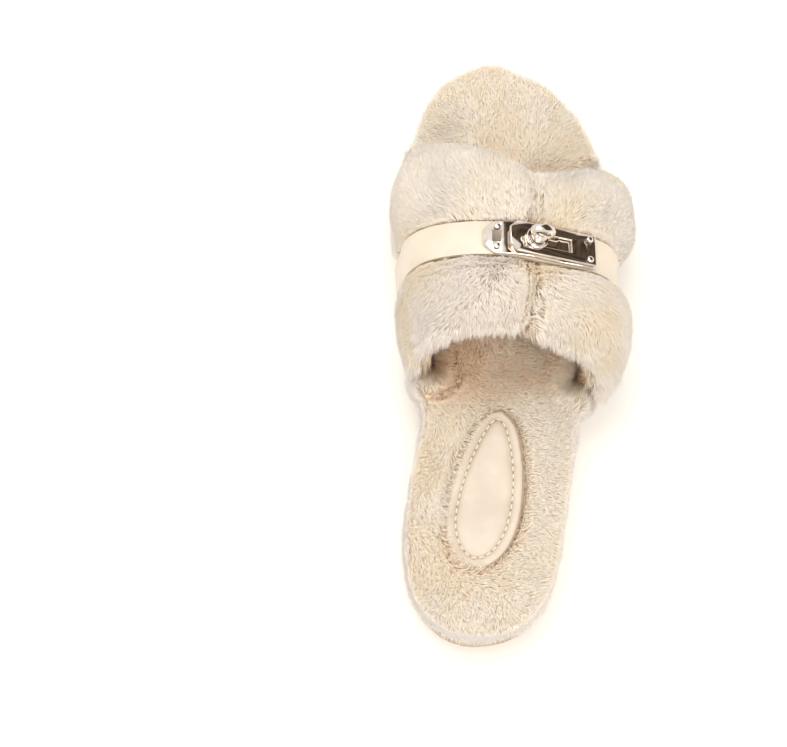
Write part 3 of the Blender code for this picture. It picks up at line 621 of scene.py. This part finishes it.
def grow(name, roots, normals, lean, length, pull, level, seed, allowed, rise=0.34, kind=LONG_STRAND):
    """Strands that rise along the normals and then lean over by lean, as pieces of STRANDS_PER_PIECE.

    pull draws the tips of a clump together, and level is their tone. rise is how much of the normal
    is left in the upper half of a strand. A strand that isn't allowed is tried again at CUT_SHARE of
    its length, and dropped if it still isn't.
    """
    draw = np.random.default_rng(seed)
    count = len(roots)
    loose = draw.normal(0, 0.10 if kind is LONG_STRAND else 0.07, (count, 3))
    first = unit(normals + 0.7 * lean + loose)
    second = unit(normals * np.reshape(rise, (-1, 1)) + 1.1 * lean + 1.5 * loose)
    length = length * draw.uniform(0.8, 1.1, count)
    middles = roots + first * (length * BEND_SHARE)[:, None]
    tips = middles + second * (length * (1 - BEND_SHARE))[:, None]
    tips = clump(roots, tips, STRANDS_PER_CLUMP, pull, seed + 1)
    good = allowed(middles, tips)
    cut = np.flatnonzero(~good)
    middles[cut] = roots[cut] + (middles[cut] - roots[cut]) * CUT_SHARE
    tips[cut] = roots[cut] + (tips[cut] - roots[cut]) * CUT_SHARE
    good[cut] = allowed(middles[cut], tips[cut])
    kept = np.flatnonzero(good)
    roots = roots - normals * FOOT_DEPTH
    radii = draw.uniform(*kind, count)
    tones = tones_for(roots, level, seed + 2)
    order = kept[np.argsort(roots[kept, 1], kind="stable")]
    for k, chosen in enumerate(np.array_split(order, math.ceil(len(order) / STRANDS_PER_PIECE))):
        title = f"{name}_{k + 1}"
        mesh = strand_mesh(title, roots[chosen], middles[chosen], tips[chosen], radii[chosen], tones[chosen])
        piece = add_object(title, mesh)
        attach(piece, BODY)


# ---------------------------------------------------------------- the upper

STRAP_LOW, STRAP_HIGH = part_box("strap_cover")
STRAP_MIDDLE = (STRAP_LOW[1] + STRAP_HIGH[1]) / 2
STRAP_HALF = (STRAP_HIGH[1] - STRAP_LOW[1]) / 2
SEAM_X = middle_of("centre_seam_thread")[0]
INTERLINING_TREE = tree_of("upper_interlining")
STRAP_TREE = tree_of("strap_cover", "base_plate", "hasp_plate")
LINING_TREE = tree_of("upper_lining")
PAD_TREE = tree_of("heel_pad_cover")
# How far the skin under the long pile lies inside the CAD panel, and how far cloth simulation may swell it.
BULK_INSET = 2.8 * MM
BULK_SWELL = 1.5 * MM
SEAM_STITCH_PITCH = 2.3 * MM
# The stitches start and end this far behind the strap's middle.
SEAM_STITCH_SPAN = (12 * MM, 30 * MM)


def upper_skin(side):
    """The fur panel's inner bulk and how far each of its points is from the interlining."""
    node = f"upper_fur_{side}"
    piece = copy_of(node, f"upper_bulk_{side}")
    remesh(piece, 1.6 * MM)
    depth = distances(points_of(piece.data), INTERLINING_TREE)
    pull_in(piece, np.minimum(BULK_INSET, 0.5 * np.maximum(depth - 1.2 * MM, 0)))
    inflate(piece, depth < 3.5 * MM, 3.0, BULK_SWELL)
    finish_skin(piece, SKIN)
    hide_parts(node)
    return piece, distances(points_of(piece.data), INTERLINING_TREE)


def clear_of_strap(middles, tips):
    """True for a strand that neither ends nor bends inside the strap or the buckle, or right against it."""
    good = np.ones(len(tips), bool)
    near_strap = np.abs(tips[:, 1] - STRAP_MIDDLE) < STRAP_HALF + 4 * MM
    for i in np.flatnonzero(near_strap):
        for p in (middles[i], tips[i], (middles[i] + tips[i]) / 2):
            spot, normal, _, distance = STRAP_TREE.find_nearest(Vector(p), 3 * MM)
            if spot is None:
                continue
            if (Vector(p) - spot).dot(normal) < 0 or distance < 0.25 * MM:
                good[i] = False
                break
    return good


def grow_upper_pile(skin, depth, side, seed):
    """The long pile of one panel, combed away from the strap and the centre seam."""

    def outside(spots, facing, values):
        ends = np.abs(facing[:, 1]) > 0.6
        depth = values[:, 0]
        return ((depth > 2.4 * MM) | (ends & (depth > 0.8 * MM))) & (facing[:, 2] > -0.85)

    def allowed(middles, tips):
        return clear_of_strap(middles, tips) & (tips[:, 2] > UPPER_LOWEST)

    roots, normals, _ = scatter(skin.data, UPPER_DENSITY, seed, depth[:, None], outside)
    from_strap = roots[:, 1] - STRAP_MIDDLE
    from_seam = np.abs(roots[:, 0] - SEAM_X)
    free_edge = share(np.abs(normals[:, 1]), 0.55, 0.95) * share(np.abs(from_strap), 22 * MM, 34 * MM)
    rear = (from_strap < 0) * free_edge
    rearward = share(-from_strap, 12 * MM, 34 * MM)
    groove = (1 - share(from_seam, 0.5 * MM, 6 * MM)) * (0.3 + 0.7 * rearward)
    toward = np.stack([
        np.sign(roots[:, 0] - SEAM_X) * (0.25 + 1.6 * groove),
        np.sign(from_strap),
        np.full(len(roots), -0.35),
    ], axis=1)
    lean = combed(normals, toward, 0.55 * wavy(roots, 15 * MM, seed + 5))
    lean *= (0.85 + 0.22 * wavy(roots, 11 * MM, seed + 6) - 0.45 * rear)[:, None]
    length = (6.4 + 0.6 * wavy(roots, 12 * MM, seed + 9) + 2.8 * rear - 2.4 * groove) * MM
    pull = 0.08 + 0.55 * rear
    rim = share(np.abs(normals[:, 0]), 0.6, 1.0)
    level = 4.3 + 1.1 * wavy(roots, 26 * MM, BROAD_TONE_SEED) + 0.3 * wavy(roots, 8 * MM, FINE_TONE_SEED)
    # Painted sheen: the pile facing sideways and at the free edges gets lighter tones.
    level += 0.9 * rim + 0.7 * free_edge
    level -= 2.5 * (1 - share(from_seam, 0.3 * MM, 1.6 * MM)) * (from_strap < 0)
    grow(
        f"upper_pile_{side}", roots, normals, lean, length, pull, level, seed + 30, allowed,
        0.34 + 0.9 * rear,
    )


def make_seam_stitches(skins):
    """A few brown stitches across the centre seam, where the pile parts behind the strap."""
    graph = bpy.context.evaluated_depsgraph_get()
    trees = [BVHTree.FromObject(skin, graph) for skin in skins]
    places = []
    directions = []
    first, last = (STRAP_MIDDLE - behind for behind in SEAM_STITCH_SPAN)
    for k, y in enumerate(np.arange(first, last, -SEAM_STITCH_PITCH)):
        tops = []
        for tree, side in zip(trees, (-1, 1), strict=True):
            above = Vector((SEAM_X + side * 4 * MM, y, 200 * MM))
            hit, _, _, _ = tree.ray_cast(above, -UP)
            if hit:
                tops.append(hit.z)
        if len(tops) == 2:
            places.append((SEAM_X, y, min(tops) + 0.6 * MM))
            directions.append((0.8, 0.6 if k % 2 else -0.6, 0.1))
    stitches = beads("seam_stitches", places, directions, 1.2 * MM, 0.22 * MM, PAD_EDGE)


def make_lining():
    """The short pile inside the upper, in darker tones as painted shade, lighter at its open ends."""
    piece = copy_of("upper_lining", "lining_bulk")
    remesh(piece, 1.3 * MM)
    depth = distances(points_of(piece.data), INTERLINING_TREE)
    pull_in(piece, np.minimum(1.2 * MM, 0.5 * np.maximum(depth - 0.8 * MM, 0)))
    finish_skin(piece, FOOTBED_SKIN)
    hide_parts("upper_lining")
    depth = distances(points_of(piece.data), INTERLINING_TREE)
    roots, normals, _ = scatter(
        piece.data, LINING_DENSITY, LINING_SEED, depth[:, None],
        lambda spots, facing, values: (values[:, 0] > 1.4 * MM) | (np.abs(facing[:, 1]) > 0.6),
    )
    rearward = np.tile((0, -1.0, -0.1), (len(roots), 1))
    lean = 0.7 * combed(normals, rearward, 0.6 * wavy(roots, 15 * MM, LINING_SEED + 5))
    ends = share(np.abs(normals[:, 1]), 0.5, 0.9)
    # Painted shade: a low level darkens the pile inside the upper, and its open ends are lighter.
    level = 1.8 + 0.8 * wavy(roots, 20 * MM, LINING_SEED + 6) + 2.2 * ends
    lean *= 1 - 0.7 * ends[:, None]
    length = (3.0 + 4.0 * ends) * MM
    pull = 0.1 + 0.2 * ends
    grow(
        "lining_pile", roots, normals, lean, length, pull, level, LINING_SEED + 20,
        lambda middles, tips: tips[:, 2] > LINING_LOWEST, kind=SHORT_STRAND,
    )


# ---------------------------------------------------------------- the footbed


CORE_TREE = tree_of("insole_board", "footbed_foam")
FOOTBED_MIDDLE = middle_of("footbed_fur")
PAD_MIDDLE = middle_of("heel_pad_cover")[0]
# Darker patches of the pile around the toe and the heel: x, y and radius.
DARKER_PATCHES = (
    (-2 * MM, 104 * MM, 20 * MM),
    (8 * MM, 86 * MM, 18 * MM),
    (-8 * MM, -108 * MM, 18 * MM),
    (-30 * MM, -60 * MM, 12 * MM),
    (20 * MM, -92 * MM, 14 * MM),
)


def footbed_skin():
    """The footbed's bulk, a little inside the pile's outer shape except beside the lining and the pad."""
    piece = copy_of("footbed_fur", "footbed_bulk")
    remesh(piece, 1.8 * MM)
    points = points_of(piece.data)
    normals = normals_of(piece.data)
    rim = 1 - share(normals[:, 2], 0.5, 0.98)
    by_lining = 1 - share(distances(points, LINING_TREE), 8 * MM, 14 * MM)
    by_pad = 1 - share(distances(points, PAD_TREE), 1 * MM, 4 * MM)
    toe = share(points[:, 1], 95 * MM, 120 * MM)
    inset = (2.4 + (0.8 + 0.8 * toe) * rim) * (1 - 0.75 * by_lining) * (1 - 0.8 * by_pad)
    pull_in(piece, np.where(normals[:, 2] < -0.5, 0, inset * MM))
    smooth(piece, 8)
    finish_skin(piece, FOOTBED_SKIN)
    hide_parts("footbed_fur")
    return piece


def grow_footbed_pile(skin, seed):
    """The short pile, combed from the middle outwards, over the pad's inner rim and up against the lining."""
    points = points_of(skin.data)
    field = np.hstack([
        distances(points, CORE_TREE)[:, None], ways_to(points, LINING_TREE), ways_to(points, PAD_TREE)
    ])

    def outside(spots, facing, values):
        from_pad = np.linalg.norm(values[:, 4:7], axis=1)
        covered = (values[:, 0] < 1.0 * MM) | (from_pad < 0.15 * MM)
        return ~covered & (facing[:, 2] > -0.6) & (spots[:, 2] > 14 * MM)

    roots, normals, values = scatter(skin.data, FOOTBED_DENSITY, seed, field, outside)
    rim = 1 - share(normals[:, 2], 0.5, 0.98)
    to_lining = values[:, 1:4]
    to_pad = values[:, 4:7]
    sideways = share(np.linalg.norm(unit(to_lining)[:, :2], axis=1), 0.5, 0.85)
    by_lining = (1 - share(np.linalg.norm(to_lining, axis=1), 9 * MM, 14 * MM)) * sideways
    by_pad = 1 - share(np.linalg.norm(to_pad, axis=1), 1.5 * MM, 4.5 * MM)
    medial_pad = by_pad * (roots[:, 0] < PAD_MIDDLE)
    across = (roots[:, 0] - FOOTBED_MIDDLE[0]) / (36 * MM)
    ahead = roots[:, 1] - STRAP_MIDDLE
    end = share(np.abs(roots[:, 1]), 95 * MM, 125 * MM)
    spread = np.clip(across + 0.8 * (ahead < 0), -1, 1) * (1 - 0.6 * end)
    heading = np.sign(ahead) * math.pi / 2 * (1 - spread)
    outward = np.stack([across, (roots[:, 1] - FOOTBED_MIDDLE[1]) / (90 * MM)], axis=1)
    toward = np.stack([np.cos(heading), np.sin(heading)], axis=1)
    toward = toward * (1 - rim[:, None]) + unit(outward) * rim[:, None]
    toward = np.hstack([toward, np.full((len(roots), 1), -0.1)])
    for near, way in ((by_lining, unit(to_lining)), (0.6 * medial_pad, unit(to_pad))):
        toward = unit(toward) * (1 - near[:, None]) + way * near[:, None]
    turn = 0.6 * wavy(roots, 22 * MM, seed + 5) * (1 - by_lining) * (1 - by_pad)
    lean = combed(normals, toward, turn)
    lean *= (0.9 + 0.15 * wavy(roots, 9 * MM, seed + 6) - 0.2 * medial_pad - 0.35 * rim)[:, None]
    length = 4.2 + 0.3 * wavy(roots, 9 * MM, seed + 9) - 0.6 * rim + 4.2 * by_lining + 1.2 * medial_pad
    length -= 1.3 * share(roots[:, 1], 100 * MM, 122 * MM)
    # The pile under the upper, darkened below as painted shade.
    under_upper_shade = share(roots[:, 1], -38 * MM, -12 * MM) * (1 - share(roots[:, 1], 60 * MM, 85 * MM))
    level = 4.0 + 0.8 * wavy(roots, 30 * MM, seed + 11) + 0.3 * wavy(roots, 8 * MM, seed + 12)
    for x, y, reach in DARKER_PATCHES:
        from_spot = np.hypot(roots[:, 0] - x, (roots[:, 1] - y) * 1.4)
        level -= 0.9 * np.exp(-((from_spot / reach) ** 2))
    # Painted light: the pile on the footbed's sides is lighter, a painted sheen, and the pile under the upper
    # darker, painted shade.
    level += 2.2 * rim - 2.4 * under_upper_shade * (1 - rim)
    grow(
        "footbed_pile", roots, normals, lean, length * MM, 0.02 + 0.15 * rim, level, seed + 30,
        lambda middles, tips: tips[:, 2] > FOOTBED_LOWEST, 0.34 + 0.5 * by_pad, SHORT_STRAND,
    )


# ---------------------------------------------------------------- heel pad


# How much longer than wide the pad is, its stitches, the dark beads of painted shade in the holes between
# them, and the cord at its edge.
PAD_ASPECT = 2.4
STITCH_PITCH = 3.3 * MM
STITCH_HALF, STITCH_RADIUS = 1.15 * MM, 0.36 * MM
HOLE_HALF, HOLE_RADIUS = 0.3 * MM, 0.42 * MM
EDGE_RADIUS = 0.32 * MM
CHANNEL_DEPTH = 0.55 * MM
CHANNEL_WIDTH = 0.9 * MM


def ring_of(node, steps=120, window=math.radians(9)):
    """The closed path that a thin ring-shaped node follows, as means over a window of its angle."""
    points = points_of(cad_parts[node].data)
    centre = (points.min(axis=0) + points.max(axis=0)) / 2
    turn = np.arctan2((points[:, 1] - centre[1]) / PAD_ASPECT, points[:, 0] - centre[0])
    path = []
    for angle in np.linspace(-math.pi, math.pi, steps, endpoint=False):
        gap = np.abs((turn - angle + math.pi) % (2 * math.pi) - math.pi)
        weights = np.maximum(0, 1 - gap / window)
        path.append((points * weights[:, None]).sum(axis=0) / weights.sum())
    return np.array(path)


def even_path(path, spacing):
    """Points at about that spacing on a closed path, and the unit tangents there."""
    closed = np.vstack([path, path[:1]])
    runs = np.concatenate([[0], np.cumsum(np.linalg.norm(np.diff(closed, axis=0), axis=1))])
    count = max(3, round(runs[-1] / spacing))
    places = np.arange(count) * runs[-1] / count
    points = np.stack([np.interp(places, runs, closed[:, k]) for k in range(3)], axis=1)
    tangents = unit(np.roll(points, -1, axis=0) - np.roll(points, 1, axis=0))
    return points, tangents


def tube_along(name, path, radius, material):
    """A thin closed cord along a path."""
    curve = bpy.data.curves.new(name, "CURVE")
    curve.dimensions = "3D"
    curve.bevel_depth = radius
    curve.bevel_resolution = 3
    line = curve.splines.new("POLY")
    line.points.add(len(path) - 1)
    line.points.foreach_set("co", np.c_[path, np.ones(len(path))].ravel())
    line.use_cyclic_u = True
    guide = bpy.data.objects.new(f"{name}_guide", curve)
    SCENE.collection.objects.link(guide)
    graph = bpy.context.evaluated_depsgraph_get()
    mesh = bpy.data.meshes.new_from_object(guide.evaluated_get(graph))
    bpy.data.objects.remove(guide, do_unlink=True)
    mesh.materials.clear()
    mesh.shade_smooth()
    piece = add_object(name, mesh, [material])
    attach(piece, BODY)
    return piece


def beads(name, places, directions, half_length, radius, material):
    """One object of many small rounded beads, each stretched along its direction."""
    shape = bmesh.new()
    for place, direction in zip(places, directions, strict=True):
        turn = Vector(direction).to_track_quat("Z", "Y").to_matrix().to_4x4()
        size = Matrix.Diagonal((radius, radius, half_length, 1))
        placed = Matrix.Translation(Vector(place)) @ turn @ size
        bmesh.ops.create_uvsphere(shape, u_segments=10, v_segments=8, radius=1, matrix=placed)
    mesh = bpy.data.meshes.new(name)
    shape.to_mesh(mesh)
    shape.free()
    mesh.shade_smooth()
    piece = add_object(name, mesh, [material])
    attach(piece, BODY)
    return piece


def make_heel_pad():
    """The padded leather patch: a swollen middle inside a stitched channel, and a flat rim."""
    piece = copy_of("heel_pad_cover", "heel_pad_padded")
    remesh(piece, 0.8 * MM)
    points = points_of(piece.data)
    normals = normals_of(piece.data)
    stitch_line, tangents = even_path(ring_of("heel_pad_stitching"), STITCH_PITCH)
    stitch_tree = tree_of("heel_pad_stitching")
    from_stitch = distances(points, stitch_tree)
    held = (normals[:, 2] < 0.5) | (from_stitch < CHANNEL_WIDTH)
    inflate(piece, held, 6.0, 1.4 * MM)
    points = points_of(piece.data)
    normals = normals_of(piece.data)
    from_stitch = distances(points, stitch_tree)
    upper = share(normals[:, 2], 0.2, 0.8)
    points[:, 2] -= CHANNEL_DEPTH * np.exp(-((from_stitch / CHANNEL_WIDTH) ** 2)) * upper
    set_points(piece.data, points)
    smooth(piece, 4)
    finish_skin(piece, PAD_LEATHER)
    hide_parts("heel_pad_cover")
    stitch_line[:, 2] += 0.1 * MM
    stitches = beads("heel_pad_stitches", stitch_line, tangents, STITCH_HALF, STITCH_RADIUS, THREAD)
    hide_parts("heel_pad_stitching")
    # Dark beads between the stitches are painted shade in the needle holes.
    between = (stitch_line + np.roll(stitch_line, -1, axis=0)) / 2
    ups = np.tile((0, 0, 1.0), (len(between), 1))
    hole_shade = beads("heel_pad_needle_hole_shade", between, ups, HOLE_HALF, HOLE_RADIUS, PAD_EDGE)
    outwards = np.cross(tangents, (0, 0, 1.0))
    outwards *= np.sign((outwards * (stitch_line - stitch_line.mean(axis=0))).sum(axis=1, keepdims=True))
    beyond = stitch_line + outwards * 6 * MM
    beyond[:, 2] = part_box("heel_pad_cover")[1][2] - 0.5 * MM
    rim = np.array([tuple(PAD_TREE.find_nearest(Vector(p))[0]) for p in beyond])
    edge = tube_along("heel_pad_edge", rim, EDGE_RADIUS, PAD_EDGE)


# ---------------------------------------------------------------- stage


def add_camera():
    data = bpy.data.cameras.new("camera")
    data.lens = CAMERA_LENS
    data.sensor_width = CAMERA_SENSOR
    data.clip_start = CAMERA_NEAREST
    camera = bpy.data.objects.new("camera", data)
    camera.location = CAMERA_PLACE
    camera.rotation_euler = Euler(CAMERA_TURN)
    SCENE.collection.objects.link(camera)
    SCENE.camera = camera


def add_light(name, place, size, power, colour):
    data = bpy.data.lights.new(name, "AREA")
    data.shape = "RECTANGLE"
    data.size, data.size_y = size
    data.energy = power
    data.color = colour
    light = bpy.data.objects.new(name, data)
    light.location = place
    light.rotation_euler = (-Vector(place)).to_track_quat("-Z", "Y").to_euler()
    SCENE.collection.objects.link(light)


def add_world():
    world = bpy.data.worlds.new("studio")
    world.use_nodes = True
    background = world.node_tree.nodes["Background"]
    background.inputs["Color"].default_value = WORLD_COLOUR
    background.inputs["Strength"].default_value = WORLD_STRENGTH
    SCENE.world = world


def square_sheet(name, size, roughness, clouds, stops):
    """A flat square with a cloudy colour."""
    mesh = bpy.data.meshes.new(name)
    half = size / 2
    corners = [(-half, -half, 0), (half, -half, 0), (half, half, 0), (-half, half, 0)]
    mesh.from_pydata(corners, [], [(0, 1, 2, 3)])
    material, tree, shader = new_material(f"{name}_look", Roughness=roughness)
    link(tree, ramp(tree, noise(tree, object_place(tree), *clouds), stops), shader.inputs["Base Color"])
    return add_object(name, mesh, [material])


def add_flag():
    """A dark card past the toe, seen only as the dark part of the metal's reflections."""
    stops = ((0.35, (0.02, 0.013, 0.008)), (0.65, (0.12, 0.085, 0.06)))
    flag = square_sheet("flag", FLAG_SIZE, 1.0, (FLAG_CLOUDS, 2), stops)
    flag.location = FLAG_PLACE
    flag.rotation_euler = (-Vector(FLAG_PLACE)).to_track_quat("Z", "Y").to_euler()
    flag.visible_camera = False
    flag.visible_diffuse = False
    flag.visible_shadow = False


def add_floor():
    stops = ((0.3, (0.86, 0.85, 0.83)), (0.7, (0.88, 0.87, 0.85)))
    square_sheet("floor", FLOOR_SIZE, 0.9, (60 * MM,), stops)


def make_stage():
    add_camera()
    add_world()
    add_floor()
    add_flag()
    for name, (place, size, power, colour) in LIGHTS.items():
        add_light(name, place, size, power, colour)
    SCENE.view_settings.view_transform = "Standard"
    SCENE.cycles.max_bounces = LIGHT_BOUNCES
    SCENE.cycles.diffuse_bounces = LIGHT_BOUNCES


# ---------------------------------------------------------------- the scene

make_stage()

dress("outsole", OUTSOLE_RUBBER)
dress("midsole", SOLE_FOAM)
dress("insole_board", BOARD)
dress("footbed_foam", SOLE_FOAM)
dress("heel_pad_foam", SOLE_FOAM)
dress("upper_interlining", BACKING_CLOTH)
dress("seam_tape", BACKING_CLOTH)
dress("centre_seam_thread", THREAD)
dress("strap_backing", BACKING_CLOTH)
for number in (1, 2):
    dress(f"base_rivet_{number}_washer", BRUSHED)
    dress(f"hasp_rivet_{number}_washer", BRUSHED)
    refined(f"base_rivet_{number}", PLATED)
    refined(f"hasp_rivet_{number}", PLATED)
dress("wave_washer", BRUSHED)
refined("strap_cover", STRAP_LEATHER, 0.45 * MM, 50, 3)
refined("base_plate", PLATED, 0.12 * MM, 50)
refined("hasp_plate", PLATED, 0.12 * MM, 50)
refined("lock_post", PLATED)
refined("lock_collar", PLATED)
refined("turn_knob", PLATED)

skins = []
for number, side in enumerate(("medial", "lateral")):
    skin, depth = upper_skin(side)
    grow_upper_pile(skin, depth, side, UPPER_SEED + UPPER_SEED_STEP * number)
    skins.append(skin)
make_seam_stitches(skins)
make_base_inset()
make_lining()
grow_footbed_pile(footbed_skin(), FOOTBED_SEED)
make_heel_pad()
